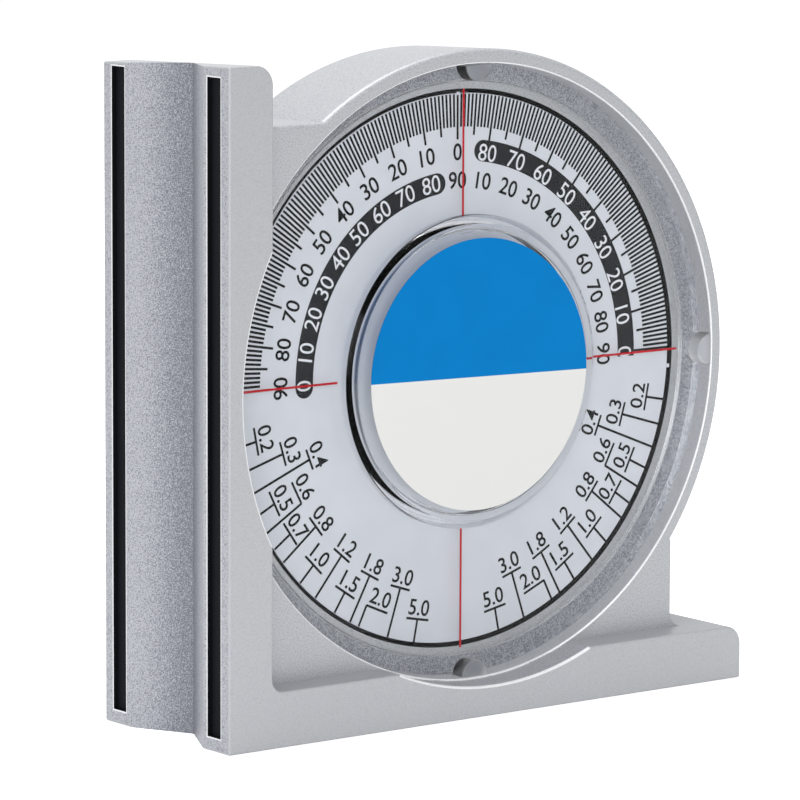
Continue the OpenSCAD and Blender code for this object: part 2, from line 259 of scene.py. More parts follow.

# %% [markdown]
# ## Silver lacquer
# The case is moulded ABS, sprayed with a silver metallic lacquer. Fine aluminium flakes make it speckled close
# up and even from a step away. It could be a metal shader with a flake map, but the flakes lie in a dull binder,
# so it is a partly metallic, rough surface whose colour changes from grain to grain. Real flakes are about
# 0.03 mm, too fine to show, so they are drawn 0.2 to 0.3 mm across. In the groove, on the side and on the ledge
# the speckle is painted darker and coarser, and darker still towards the groove's floor, as painted shade. Thin
# edges get a lighter lacquer as a painted highlight, and the recess wall gets a lighter one as painted light.

# %% Silver lacquer and bare plastic
def silver_lacquer(name, dark, light, grain, roughness, relief, groove_shade=0.0):
    """Metallic lacquer on ABS: speckled by its flakes, satin, with a faint orange peel. The last number paints
    shade into the speckle, darker towards the middle of the case's depth, where the groove is deepest."""
    material, tree = blank(name)
    place = add(tree, "ShaderNodeTexCoord")
    flakes = add(tree, "ShaderNodeTexNoise", {"Scale": per_mm(grain), "Detail": 2.0, "Roughness": 0.7},
                 {"Vector": place.outputs["Object"]})
    split = add(tree, "ShaderNodeSeparateXYZ", links={"Vector": place.outputs["Object"]})
    offset = add(tree, "ShaderNodeMath", None, {0: split.outputs["Y"]}, operation="ABSOLUTE")
    depth = add(tree, "ShaderNodeMapRange", {
        "From Min": 0.0, "From Max": 9 * MM, "To Min": -groove_shade, "To Max": 0.0},
        {"Value": offset.outputs[0]}, interpolation_type="SMOOTHSTEP")
    total = add(tree, "ShaderNodeMath", None, {0: flakes.outputs["Fac"], 1: depth.outputs["Result"]},
                operation="ADD")
    tone = add(tree, "ShaderNodeValToRGB", links={"Fac": total.outputs[0]})
    tone.color_ramp.elements[0].position, tone.color_ramp.elements[1].position = 0.3, 0.56
    tone.color_ramp.elements[0].color, tone.color_ramp.elements[1].color = colour(dark), colour(light)
    peel = add(tree, "ShaderNodeTexNoise", {"Scale": per_mm(0.45), "Detail": 1.0},
               {"Vector": place.outputs["Object"]})
    bump = add(tree, "ShaderNodeBump", {"Strength": relief, "Distance": 0.02 * MM},
               {"Height": peel.outputs["Fac"]})
    surface = add(tree, "ShaderNodeBsdfPrincipled", {"Metallic": 0.35, "Roughness": roughness},
                  {"Base Color": tone.outputs["Color"], "Normal": bump.outputs["Normal"]})
    add(tree, "ShaderNodeOutputMaterial", links={"Surface": surface.outputs["BSDF"]})
    return material


def bare_plastic(name, dark, light, roughness, shine=0.12):
    """Moulded plastic as it leaves the tool: one colour, a faint cloudiness and a satin skin."""
    material, tree = blank(name)
    place = add(tree, "ShaderNodeTexCoord")
    cloud = add(tree, "ShaderNodeTexNoise", {"Scale": per_mm(1.2), "Detail": 3.0},
                {"Vector": place.outputs["Object"]})
    tone = add(tree, "ShaderNodeValToRGB", links={"Fac": cloud.outputs["Fac"]})
    tone.color_ramp.elements[0].color, tone.color_ramp.elements[1].color = colour(dark), colour(light)
    bump = add(tree, "ShaderNodeBump", {"Strength": 0.2, "Distance": 0.01 * MM},
               {"Height": cloud.outputs["Fac"]})
    surface = add(tree, "ShaderNodeBsdfPrincipled", {"Roughness": roughness, "Specular IOR Level": shine},
                  {"Base Color": tone.outputs["Color"], "Normal": bump.outputs["Normal"]})
    add(tree, "ShaderNodeOutputMaterial", links={"Surface": surface.outputs["BSDF"]})
    return material


lacquer = silver_lacquer("silver_lacquer_on_abs", "A3A5A9", "B0B2B6", 0.22, 0.42, 0.2)
speckled_lacquer = silver_lacquer("speckled_lacquer", "93969B", "B6B8BC", 0.24, 0.45, 0.3)
# The side, the groove and the ledge: a darker, coarser speckle that darkens further towards the groove's floor,
# the grain with painted shade.
shaded_grain_lacquer = silver_lacquer("coarse_grain_lacquer_with_painted_shade", "6C7079", "B6B8BE", 0.2, 0.5, 0.5, groove_shade=0.16)
# A lighter copy of the lacquer for the recess wall: painted light on a wall that would otherwise render in
# shade.
recess_wall_painted_light = silver_lacquer("lacquer_painted_lighter_on_recess_wall", "B2B4B8", "C8CACE", 0.24, 0.42, 0.2)
# A near-white lacquer for thin edges and slot mouths: a painted highlight.
edge_highlight_lacquer = silver_lacquer("lacquer_painted_as_edge_highlight", "DCDEE0", "EDEEF0", 0.28, 0.4, 0.1)
black_abs = bare_plastic("unpainted_black_abs", "0A0B0E", "101216", 0.6)
# The chamber's inside is drawn near black, as dark as the gap round the dial.
dark_inside = bare_plastic("near_black_chamber_inside", "0A0B0E", "121417", 0.6)
print("finishes:", lacquer.name, shaded_grain_lacquer.name, black_abs.name)

# %% [markdown]
# ## The moulded case
# The case, its web, the foot and the grooved side are one moulding. Its edges are rounded where the photograph
# shows a line of light, and its outside tapers to the rear so that it leaves the mould. One Bevel over the
# finished shape would be less work, but it goes wrong where a round edge runs into a flat one. So each part is
# rounded while it is still simple, each cutter carries the lip that it leaves, and the parts are then fused.
# Faces that would lie in one plane are kept a hair apart, because the cutting tool is unsure of them.

# %% The L of side and foot
DRAFT = math.radians(2.15)


def along_y(edge, x, z, slack):
    """True for an edge that runs along Y near that x and z."""
    near = all(abs(v.co.x - x) < 0.01 and abs(v.co.z - z) < slack for v in edge.verts)
    return near and edge.calc_length() > 5


INNER_X = LEFT + SIDE_W
side_top = SIDE_H + REAR * math.tan(DRAFT)
case = block("housing_moulding", (LEFT, FRONT, 0), (RIGHT, REAR, FOOT_H))
case.data.materials.append(lacquer)
bpy.ops.object.mode_set(mode="EDIT")
bpy.ops.mesh.select_all(action="SELECT")
bpy.ops.mesh.bisect(plane_co=(INNER_X, 0, 0), plane_no=(1, 0, 0))
choose(case, faces=lambda f: f.normal.z > 0.9 and f.calc_center_median().x < INNER_X)
bpy.ops.mesh.extrude_region_move(TRANSFORM_OT_translate={"value": (0, 0, side_top - FOOT_H)})
choose(case, edges=lambda e: all(v.co.y > 0 and v.co.z > side_top - 0.1 for v in e.verts))
bpy.ops.transform.translate(value=(0, 0, -2 * REAR * math.tan(DRAFT)))
choose(case, edges=lambda e: along_y(e, INNER_X, SIDE_H, 1) or along_y(e, RIGHT, FOOT_H, 0.01))
bpy.ops.mesh.bevel(offset=CORNER_R, segments=14, affect="EDGES")
choose(case, edges=lambda e: along_y(e, INNER_X, FOOT_H, 0.01))
bpy.ops.mesh.bevel(offset=INNER_R, segments=10, affect="EDGES")
EDGE_R = 0.32
choose(case, edges=lambda e: e.calc_face_angle(0) > math.radians(28))
bpy.ops.mesh.bevel(offset=EDGE_R, segments=3, affect="EDGES")
deselect()
print("the L has", len(case.data.polygons), "faces, leaks:", leaks(case))


# %% Scoops in front of the round case and behind it
def arc(radius, y, size, start, end, steps=6):
    """Points of a rounding: its centre, its size, and its angles, where 0 is outwards and 90 is +Y."""
    angles = [math.radians(start + (end - start) * i / steps) for i in range(steps + 1)]
    return [(radius + size * math.cos(a), y + size * math.sin(a)) for a in angles]


HAIR = 0.01
SCOOP_LIP = 0.4
front_scoop = turned("front_scoop", [(SCOOP_R + SCOOP_LIP, FRONT - 1)]
                     + arc(SCOOP_R + SCOOP_LIP, FRONT + SCOOP_LIP - HAIR, SCOOP_LIP, 270, 180, 4)
                     + [(SCOOP_R, CASE_FRONT)], ring=False)
rear_scoop = turned("rear_scoop", [(SCOOP_R, CASE_REAR)]
                    + arc(SCOOP_R + SCOOP_LIP, REAR - SCOOP_LIP + HAIR, SCOOP_LIP, 180, 90, 4)
                    + [(SCOOP_R + SCOOP_LIP, REAR + 1)], ring=False)
for scoop in (front_scoop, rear_scoop):
    scoop.data.materials.append(speckled_lacquer)
    combine(case, scoop)
print("the L with its scoops:", len(case.data.polygons), "faces, leaks:", leaks(case))


# %% The round case and its web
RIM_EDGE_R, REAR_EDGE_R = 0.8, 4.0
rear_y = CASE_REAR - REAR_EDGE_R
rear_r = CASE_R - REAR_EDGE_R * math.cos(DRAFT) - math.tan(DRAFT) * (
    rear_y + REAR_EDGE_R * math.sin(DRAFT) - CASE_FRONT)
drum = turned("drum", arc(CASE_R - RIM_EDGE_R, CASE_FRONT + RIM_EDGE_R, RIM_EDGE_R, -90, 0)
              + arc(rear_r, rear_y, REAR_EDGE_R, math.degrees(DRAFT), 90, 10), ring=False)

OVERLAP = 0.5
web = block("web", (INNER_X - OVERLAP, CASE_FRONT - HAIR, FOOT_H - OVERLAP),
            (AXIS_X, CASE_REAR + HAIR, WEB_TOP))
bpy.ops.object.mode_set(mode="EDIT")
choose(web, edges=lambda e: all(v.co.y > 0 and v.co.z > FOOT_H for v in e.verts))
bpy.ops.transform.translate(value=(0, 0, -(CASE_REAR - CASE_FRONT) * math.tan(DRAFT)))
choose(web, edges=lambda e: all(v.co.y < 0 and v.co.z > FOOT_H for v in e.verts))
bpy.ops.mesh.bevel(offset=RIM_EDGE_R, segments=6, affect="EDGES")
deselect()

web_meet_z = AXIS_Z - math.sqrt(CASE_R ** 2 - (WEB_RIGHT - AXIS_X) ** 2)
heel = block("heel", (AXIS_X - 1, CASE_FRONT - HAIR, FOOT_H - OVERLAP),
             (WEB_RIGHT, CASE_REAR + HAIR, web_meet_z + 0.3))
fillet = block("fillet", (WEB_RIGHT - OVERLAP, CASE_FRONT - HAIR, FOOT_H - OVERLAP),
               (WEB_RIGHT + WEB_FILLET_R, CASE_REAR + HAIR, FOOT_H + WEB_FILLET_R))
combine(fillet, rod("fillet_round", WEB_FILLET_R, WEB_RIGHT + WEB_FILLET_R, FOOT_H + WEB_FILLET_R,
                    CASE_FRONT - 1, CASE_REAR + 1))
for solid in (drum, web, heel, fillet):
    solid.data.materials.clear()
    solid.data.materials.append(speckled_lacquer)
combine(heel, fillet, "UNION")
combine(web, heel, "UNION")
combine(drum, web, "UNION")
combine(case, drum, "UNION")
print("with the round case:", len(case.data.polygons), "faces, leaks:", leaks(case))

# %% [markdown]
# ## The V groove
# A pipe or a round bar seats in the groove. It could be drawn as a triangle and pushed along the side, but its
# mouth has a soft lip, so a block is cut into three strips, the middle one is pushed in and narrowed, and the
# edges of its mouth are rounded. It is cut after the parts are fused, because the round case would fill it.

# %% Cut the V groove
GROOVE_W, GROOVE_DEPTH, GROOVE_FLOOR, GROOVE_LIP = 19.0, 4.85, 0.5, 0.5
groove = block("groove", (LEFT - 1, -GROOVE_W, -1), (LEFT - HAIR, GROOVE_W, SIDE_H + 2))
# The groove's faces take the darker-grained lacquer with its painted shade towards the floor.
groove.data.materials.append(shaded_grain_lacquer)
bpy.ops.object.mode_set(mode="EDIT")
for y in (-GROOVE_W / 2, GROOVE_W / 2):
    bpy.ops.mesh.select_all(action="SELECT")
    bpy.ops.mesh.bisect(plane_co=(0, y, 0), plane_no=(0, 1, 0))
choose(groove, faces=lambda f: f.normal.x > 0.9 and abs(f.calc_center_median().y) < 1)
bpy.ops.mesh.extrude_region_move(TRANSFORM_OT_translate={"value": (GROOVE_DEPTH + HAIR, 0, 0)})
bpy.ops.transform.resize(value=(1, GROOVE_FLOOR / GROOVE_W, 1), center_override=(LEFT, 0, SIDE_H / 2))
choose(groove, edges=lambda e: e.calc_length() > 50 and all(
    abs(v.co.x - LEFT + HAIR) < 0.001 and abs(abs(v.co.y) - GROOVE_W / 2) < 0.001 for v in e.verts))
bpy.ops.mesh.bevel(offset=GROOVE_LIP, segments=4, affect="EDGES")
deselect()
combine(case, groove)
print("with the groove:", len(case.data.polygons), "faces, leaks:", leaks(case))

# %% [markdown]
# ## Recess, chamber and slots
# The window sits in a round recess, and behind it the dial swings in a chamber with four screw pillars. Each
# hollow is a turned cutter, because its walls, ledge and lips then come out of one outline. The magnet strips
# lie in four long slots, each ringed by a shallow band of lighter lacquer, a painted highlight.

# %% Cut the recess
LIP_R, OPENING_LIP_R = SCOOP_R - RECESS_R - HAIR, 0.2
LEDGE_SPLIT_R = LENS_R - 2.5
recess = turned("recess", [(RECESS_R + LIP_R, CASE_FRONT - 1)]
                + arc(RECESS_R + LIP_R, CASE_FRONT + LIP_R - 2 * HAIR, LIP_R, 270, 180)
                + [(RECESS_R, LEDGE_Y), (LEDGE_SPLIT_R, LEDGE_Y), (OPENING_R + 0.6, LEDGE_Y)], ring=False)
recess.data.materials.append(speckled_lacquer)
combine(case, recess)
print("the recess is", round(2 * RECESS_R, 1), "mm across")

# %% Cut the chamber
COVER_SEAT_R = COVER_R + SEAT_GAP
chamber = turned("chamber", [(OPENING_R + OPENING_LIP_R + HAIR, LEDGE_Y - 1),
                             (OPENING_R + OPENING_LIP_R, LEDGE_Y - HAIR)]
                 + arc(OPENING_R + OPENING_LIP_R, LEDGE_Y + OPENING_LIP_R, OPENING_LIP_R, 270, 180, 4)
                 + [(OPENING_R, COVER_Y), (COVER_SEAT_R, COVER_Y), (COVER_SEAT_R, CASE_REAR + 1)], ring=False)
SCREW_ANGLES = (45, 135, 225, 315)
PILLAR_R, PILLAR_L, PILLAR_BITE, WALL_GAP = 3.4, 9.0, 0.8, 1.0
SCREW_RING_R = DIAL_R + WALL_GAP - PILLAR_R + PILLAR_BITE
for angle in SCREW_ANGLES:
    x, z = around(SCREW_RING_R, angle)
    combine(chamber, rod("pillar", PILLAR_R, x, z, COVER_Y - PILLAR_L, COVER_Y - HAIR))
chamber.data.materials.clear()
chamber.data.materials.append(dark_inside)
combine(case, chamber)
print("the chamber has", len(SCREW_ANGLES), "screw pillars")

# %% Cut the magnet slots
SLOT_W, SLOT_DEPTH, SLOT_EDGE = 3.3, 2.2, 2.2
SLOT_LIP_W, SLOT_LIP_T = 0.2, 0.04
SLOT_LOW, SLOT_HIGH, SLOT_END = 2.1, 1.1, 9.0


def slot_cut(axis, low, high):
    """Cuts a magnet slot, ringed by lighter lacquer as a painted highlight. It is sunk along +X (0) or +Z (2).
    """
    face = low[axis]
    for material, depth, margin in ((edge_highlight_lacquer, SLOT_LIP_T, SLOT_LIP_W), (black_abs, SLOT_DEPTH, 0)):
        near = [face - 1 if i == axis else low[i] - margin for i in range(3)]
        far = [face + depth if i == axis else high[i] + margin for i in range(3)]
        slot = block("slot", near, far)
        slot.data.materials.append(material)
        combine(case, slot)


for y in (FRONT + SLOT_EDGE, REAR - SLOT_EDGE - SLOT_W):
    slot_cut(0, (LEFT, y, SLOT_LOW), (LEFT, y + SLOT_W, SIDE_H - SLOT_HIGH))
    slot_cut(2, (LEFT + SLOT_END, y, 0), (RIGHT - SLOT_END, y + SLOT_W, 0))
print("cut to shape:", len(case.data.polygons), "faces")


# %% Paint by place
def paint(piece, material, rule):
    """Gives a finish to the faces for which the rule is true: rule(face, distance from the dial axis)."""
    if material.name not in piece.data.materials:
        piece.data.materials.append(material)
    index = piece.data.materials.find(material.name)
    count = 0
    for face in piece.data.polygons:
        if rule(face, math.hypot(face.center.x - AXIS_X, face.center.z - AXIS_Z)):
            face.material_index = index
            count += 1
    return count


# The rails and the ledge take the groove's darker-grained lacquer with its painted shade. Faces in the groove
# that lean to the rear keep the plain lacquer.
rails = paint(case, shaded_grain_lacquer, lambda f, r: f.normal.x < -0.95 and f.center.x < LEFT + 0.01)
near_wall = paint(case, lacquer, lambda f, r: f.normal.y > 0.5 and f.normal.x < -0.2
                  and LEFT < f.center.x < LEFT + GROOVE_DEPTH)
ledge = paint(case, shaded_grain_lacquer, lambda f, r: abs(f.center.y - LEDGE_Y) < 0.01
              and LEDGE_SPLIT_R < r < RECESS_R)
# The recess wall takes the lighter lacquer as painted light.
wall = paint(case, recess_wall_painted_light, lambda f, r: abs(f.normal.y) < 0.1 and abs(r - RECESS_R) < 0.05
             and CASE_FRONT < f.center.y < LEDGE_Y)
# The rounded lips of the recess and the scoops take the near-white lacquer as a painted highlight.
recess_lip = paint(case, edge_highlight_lacquer, lambda f, r: abs(f.normal.y) > 0.1 and RECESS_R < r < SCOOP_R
                   and CASE_FRONT < f.center.y < CASE_FRONT + LIP_R)
scoop_lip = paint(case, edge_highlight_lacquer, lambda f, r: SCOOP_R + 0.01 < r < SCOOP_R + SCOOP_LIP
                  and FRONT + 0.01 < f.center.y < FRONT + SCOOP_LIP)
print("faces painted:", rails, near_wall, ledge, wall, recess_lip, scoop_lip)
print("finishes of the case:", [m.name for m in case.data.materials])


# %% Smooth shading
def shade(piece, angle=35):
    """Shades the curves smooth and keeps the flat faces flat."""
    pick(piece)
    bpy.ops.object.shade_smooth_by_angle(angle=math.radians(angle))
    normals = piece.modifiers.new("normals", "WEIGHTED_NORMAL")
    normals.keep_sharp = True
    bpy.ops.object.modifier_apply(modifier=normals.name)
    return piece


shade(case)
print("leaks of the case:", leaks(case))

# %% [markdown]
# ## Placing a finished piece
# A finished piece is brought to metres, with its place in its mesh. Then it rides on a body of the frame, and
# the nodes of the frame that it stands for are hidden.

# %% Place a piece
def place(piece, body, slot, *nodes):
    """Brings a finished piece to metres and hands it to the frame."""
    pick(piece)
    piece.data.transform(Matrix.Scale(MM, 4))
    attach(piece, body)
    if nodes:
        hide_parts(*nodes)
    return piece


place(case, "case", "silver_paint", "housing")

# %% [markdown]
# ## The window
# The window is one clear acrylic moulding: a flat ring over the dial, a raised middle that carries the front
# bearing, and a skirt that seats it in the recess. Four half-round posts on its rim take the pressure when it is
# glued in, and their walls are dull from the tool. A closed, solid shape is needed here, because real refraction
# bends what is seen through it. Light from the lamps and light off the walls passes straight on, so that the
# dial behind is lit as it is behind a real window.

# %% Clear acrylic
def clear_acrylic(name, roughness=0.03):
    """Clear acrylic, IOR 1.49. A dark tint keeps its mirror image faint, as under soft light."""
    material, tree = blank(name)
    glass = add(tree, "ShaderNodeBsdfPrincipled", {
        "Base Color": colour("FBFCFC"), "Roughness": roughness, "IOR": 1.49, "Transmission Weight": 1.0,
        "Specular Tint": colour("404244")})
    open_way = add(tree, "ShaderNodeBsdfTransparent", {"Color": colour("FFFFFF")})
    path = add(tree, "ShaderNodeLightPath")
    for_bounces = add(tree, "ShaderNodeMixShader", None, {
        0: path.outputs["Is Diffuse Ray"], 1: glass.outputs["BSDF"], 2: open_way.outputs["BSDF"]})
    for_lamps = add(tree, "ShaderNodeMixShader", None, {
        0: path.outputs["Is Shadow Ray"], 1: for_bounces.outputs["Shader"], 2: open_way.outputs["BSDF"]})
    add(tree, "ShaderNodeOutputMaterial", links={"Surface": for_lamps.outputs["Shader"]})
    return material


acrylic = clear_acrylic("clear_moulded_acrylic")
frosted_acrylic = clear_acrylic("acrylic_with_tool_marks", 0.35)
print("finish:", acrylic.name)

# %% Turn the window
WINDOW_Y = CASE_FRONT + 2.4
WINDOW_BACK = WINDOW_Y + 2.2
SKIRT_IN, SKIRT_Y = LENS_R - SKIRT_T, LEDGE_Y - 0.04
BOSS_R, BOSS_SLOPE, BOSS_EDGE_R, BOSS_WALL = 23.9, 1.4, 0.3, 2.0
SEAT_R, SEAT_Y = 21.5, CASE_FRONT + 0.2
BUSH_R, SOCKET_R = 2.5, 4.5
bush_low, bush_high = box_mm("front_bearing")
R = 0.25    # the window's small roundings
window = turned("window", (
    [(SEAT_R, SEAT_Y)] + arc(SEAT_R + 0.1, CASE_FRONT + 0.1, 0.1, 180, 270, 2)
    + arc(BOSS_R - BOSS_SLOPE, CASE_FRONT + BOSS_EDGE_R, BOSS_EDGE_R, -90, -45, 3)
    + arc(BOSS_R - BOSS_EDGE_R, CASE_FRONT + BOSS_SLOPE, BOSS_EDGE_R, -45, 0, 3) + [(BOSS_R, WINDOW_Y)]
    + arc(LENS_R - R, WINDOW_Y + R, R, -90, 0, 5) + [(LENS_R, SKIRT_Y), (SKIRT_IN, SKIRT_Y)]
    + [(SKIRT_IN, WINDOW_BACK + R)] + arc(SKIRT_IN - R, WINDOW_BACK + R, R, 0, -90, 5)[1:]
    + [(BOSS_R - BOSS_WALL, WINDOW_BACK)]
    + arc(BOSS_R - BOSS_WALL - R, CASE_FRONT + BOSS_WALL + R, R, 0, -90, 4)
    + [(SOCKET_R, CASE_FRONT + BOSS_WALL), (SOCKET_R, bush_high.y), (BUSH_R + SEAT_GAP, bush_high.y),
       (BUSH_R + SEAT_GAP, bush_low.y)]), ring=False)
window.data.materials.append(acrylic)
print("the window has", len(window.data.polygons), "faces, leaks:", leaks(window))


# %% Posts on the window's rim
def soften(piece, width, segments=3, sharp=28):
    """Rounds every edge of a simple piece that is sharper than that angle."""
    pick(piece)
    bevel = piece.modifiers.new("edges", "BEVEL")
    bevel.width, bevel.segments, bevel.angle_limit = width, segments, math.radians(sharp)
    bpy.ops.object.modifier_apply(modifier=bevel.name)
    return piece


POST_R = 2.5
for angle in (0, 90, 180, 270):
    x, z = around(LENS_R, angle)
    post = soften(rod("post", POST_R, x, z, CASE_FRONT, WINDOW_Y + 1), 0.2)
    rim = turned("rim", [(LENS_R, CASE_FRONT - 1), (LENS_R, WINDOW_Y + 2)], ring=False)
    combine(post, rim, "INTERSECT")
    post.data.materials.clear()
    post.data.materials.append(frosted_acrylic)
    combine(window, post, "UNION")
print("with its posts:", len(window.data.polygons), "faces, leaks:", leaks(window))

# %% Shade and place the window
pick(window)
bpy.ops.object.shade_smooth_by_angle(angle=math.radians(35))
bpy.ops.object.mode_set(mode="EDIT")
flat_faces = choose(window, faces=lambda f: abs(f.normal.y) > 0.9999
                    or abs(f.normal.y) < 1e-4 and f.calc_area() > 20)
bpy.ops.mesh.faces_shade_flat()
place(window, "case", "clear_acrylic", "lens")
print("flat faces of the window:", flat_faces)

# %% [markdown]
# ## Cross lines
# Four red lines are painted on the back of the window. They are drawn as thin slabs just behind it, because
# two surfaces in one place would flicker, and they reach a little over the edge of the dial.

# %% Red line paint
def printed_film(name, dark, light, roughness, shine=0.1):
    """Screen-printed film: an even colour with a faint mottle and a satin skin."""
    material, tree = blank(name)
    place_on = add(tree, "ShaderNodeTexCoord")
    mottle = add(tree, "ShaderNodeTexNoise", {"Scale": per_mm(5), "Detail": 3.0},
                 {"Vector": place_on.outputs["Object"]})
    tone = add(tree, "ShaderNodeValToRGB", links={"Fac": mottle.outputs["Fac"]})
    tone.color_ramp.elements[0].position, tone.color_ramp.elements[1].position = 0.3, 0.7
    tone.color_ramp.elements[0].color, tone.color_ramp.elements[1].color = colour(dark), colour(light)
    surface = add(tree, "ShaderNodeBsdfPrincipled", {"Roughness": roughness, "Specular IOR Level": shine},
                  {"Base Color": tone.outputs["Color"]})
    add(tree, "ShaderNodeOutputMaterial", links={"Surface": surface.outputs["BSDF"]})
    return material


red_ink = printed_film("red_line_paint", "B0141F", "C41C28", 0.4)
CROSS_IN, CROSS_OUT, CROSS_W, CROSS_T, CROSS_GAP = 23.6, 42.75, 0.34, 0.06, 0.03
lines = []
for turn in (0, 90, 180, 270):
    line = block("cross_line", (-CROSS_W / 2, WINDOW_BACK + CROSS_GAP, CROSS_IN),
                 (CROSS_W / 2, WINDOW_BACK + CROSS_GAP + CROSS_T, CROSS_OUT))
    to_axis = Matrix.Translation((AXIS_X, 0, AXIS_Z))
    line.data.transform(to_axis @ Matrix.Rotation(math.radians(turn), 4, "Y"))
    lines.append(line)
pick(lines[0])
for line in lines:
    line.select_set(True)
bpy.ops.object.join()
cross = newest("cross_lines_red")
cross.data.materials.append(red_ink)
place(cross, "case", "red_ink", "cross_lines")
print("cross lines from", CROSS_IN, "to", CROSS_OUT, "mm")

# %% [markdown]
# ## The dial
# The dial is a printed polyester sheet on an aluminium disc. Its ink is about a hundredth of a millimetre
# thick. It could be painted by a shader, but the scale has some 200 lines and over 60 numbers in set places, so
# each mark is a thin slab of ink, made once and copied round the dial. The whole print sits a touch off the
# middle and a quarter of a degree round, as on the photographed one.

# %% Printed sheet and inks
white_film = printed_film("white_polyester_film", "D0D4DC", "D6D9E1", 0.5)
black_ink = printed_film("black_screen_ink", "0E0F11", "151619", 0.5)
white_ink = printed_film("white_screen_ink", "DDDFE6", "E4E6EC", 0.5)
band_ink = printed_film("charcoal_screen_ink", "1A1C1F", "232529", 0.5)
print("inks:", black_ink.name, white_ink.name, band_ink.name)

# %% Helpers for printing
INK_T = 0.02
PRINT_TURN, PRINT_X, PRINT_Z = -0.27, 0.1, -0.06


def on_dial(angle, radius=0.0, level=0, flip=False):
    """The place of a mark that was drawn upright at the origin: its middle at that radius and angle, its top
    pointing outwards, or inwards with flip. A level is one layer of ink above the sheet."""
    turn = Matrix.Rotation(math.radians(angle + PRINT_TURN), 4, "Y")
    half = Matrix.Rotation(math.pi if flip else 0, 4, "Y")
    to_axis = Matrix.Translation((AXIS_X + PRINT_X, DIAL_Y - level * INK_T, AXIS_Z + PRINT_Z))
    return to_axis @ turn @ Matrix.Translation((0, 0, radius)) @ half


def stroke(width, length):
    """An upright slab of ink, its back on the sheet."""
    return block("stroke", (-width / 2, -INK_T, -length / 2), (width / 2, 0, length / 2))


def number(text, height, narrow=0.97, weight=0.01):
    """A number in Blender's own typeface, drawn upright at the origin as a slab of ink. weight thickens it."""
    deselect()
    bpy.ops.object.text_add()
    curve = bpy.context.object
    curve.data.body, curve.data.size = text, 10
    curve.data.align_x, curve.data.align_y = "CENTER", "CENTER"
    curve.data.resolution_u, curve.data.extrude, curve.data.offset = 4, 0.5, weight * 10
    bpy.ops.object.convert(target="MESH")
    digits = newest("number")
    mesh = digits.data
    xs, ys = [v.co.x for v in mesh.vertices], [v.co.y for v in mesh.vertices]
    scale = height / (max(ys) - min(ys))
    centre = Vector(((max(xs) + min(xs)) / 2, (max(ys) + min(ys)) / 2, -0.5))
    shape = Matrix.Diagonal((scale * narrow, scale, INK_T, 1)) @ Matrix.Translation(-centre)
    mesh.transform(Matrix.Rotation(math.pi / 2, 4, "X") @ shape)
    return digits


def copies(template, places):
    """Copies of a mark, each with its own mesh, at those places. The template is removed."""
    made = []
    for matrix in places:
        mark = template.copy()
        mark.data = template.data.copy()
        mark.data.transform(matrix)
        bpy.context.collection.objects.link(mark)
        made.append(mark)
    bpy.data.objects.remove(template)
    return made


def joined(name, marks, material):
    """Joins marks into one piece with one finish."""
    pick(marks[0])
    for mark in marks:
        mark.select_set(True)
    bpy.ops.object.join()
    piece = newest(name)
    piece.data.materials.clear()
    piece.data.materials.append(material)
    return piece


print("ink slab:", INK_T, "mm")

# %% Degree lines
LINE_W = 0.37
TICK_END = 0.999
marks = []
for step, inner in ((1, 0.88), (5, 0.85), (10, 0.835)):
    angles = [a for a in range(-90, 91, step) if step == 10 or (a % 10 if step == 5 else a % 5)]
    length = (TICK_END - inner) * DIAL_R
    tick = stroke(LINE_W, length)
    marks += copies(tick, [on_dial(a, (TICK_END + inner) / 2 * DIAL_R) for a in angles])
print("degree lines:", len(marks))

# %% Degree numbers
OUTER_ROW, INNER_ROW = 0.79, 0.688
DIGIT_H = 2.62
white_marks = []
for value in range(0, 91, 10):
    marks += copies(number(str(value), DIGIT_H), [on_dial(-value, OUTER_ROW * DIAL_R)])
    text = str(90 - value)
    if value:
        white_marks += copies(number(text, DIGIT_H, weight=0), [on_dial(value, OUTER_ROW * DIAL_R, 1)])
        white_marks += copies(number(text, DIGIT_H, weight=0), [on_dial(-value, INNER_ROW * DIAL_R, 1)])
        marks += copies(number(str(value), DIGIT_H), [on_dial(value, INNER_ROW * DIAL_R)])
marks += copies(number("90", DIGIT_H), [on_dial(0, INNER_ROW * DIAL_R)])
print("black marks:", len(marks), "white numbers:", len(white_marks))

# %% Slope lines and their numbers
SLOPES = {"short": (0.915, (0.2, 0.5, 0.7, 1.0, 1.5, 2.0, 5.0)),
          "middle": (0.815, (0.3, 0.6, 0.8, 1.2, 1.8, 3.0)),
          "long": (0.715, (0.4,))}
UNDERLINE_SPAN = 6.4
SLOPE_DIGIT_H = 2.5
NUMBER_GAP = 0.55
for inner, slopes in SLOPES.values():
    leader_l = (TICK_END - inner) * DIAL_R
    underline_l = 2 * inner * DIAL_R * math.tan(math.radians(UNDERLINE_SPAN / 2))
    for slope in slopes:
        down = 90 + math.degrees(math.atan(slope))
        for side in (1, -1):
            angle = side * down
            shift = {0.6: side * UNDERLINE_SPAN / 2, 2.0: -side * UNDERLINE_SPAN / 2}.get(slope, 0)
            middle_angle = angle - shift
            marks += copies(stroke(LINE_W, leader_l), [on_dial(angle, (TICK_END + inner) / 2 * DIAL_R)])
            marks += copies(stroke(underline_l, LINE_W), [on_dial(middle_angle, inner * DIAL_R)])
            height_r = inner * DIAL_R - NUMBER_GAP - SLOPE_DIGIT_H / 2
            marks += copies(number(f"{slope:.1f}", SLOPE_DIGIT_H),
                            [on_dial(middle_angle, height_r, flip=True)])
print("black marks with slopes:", len(marks))

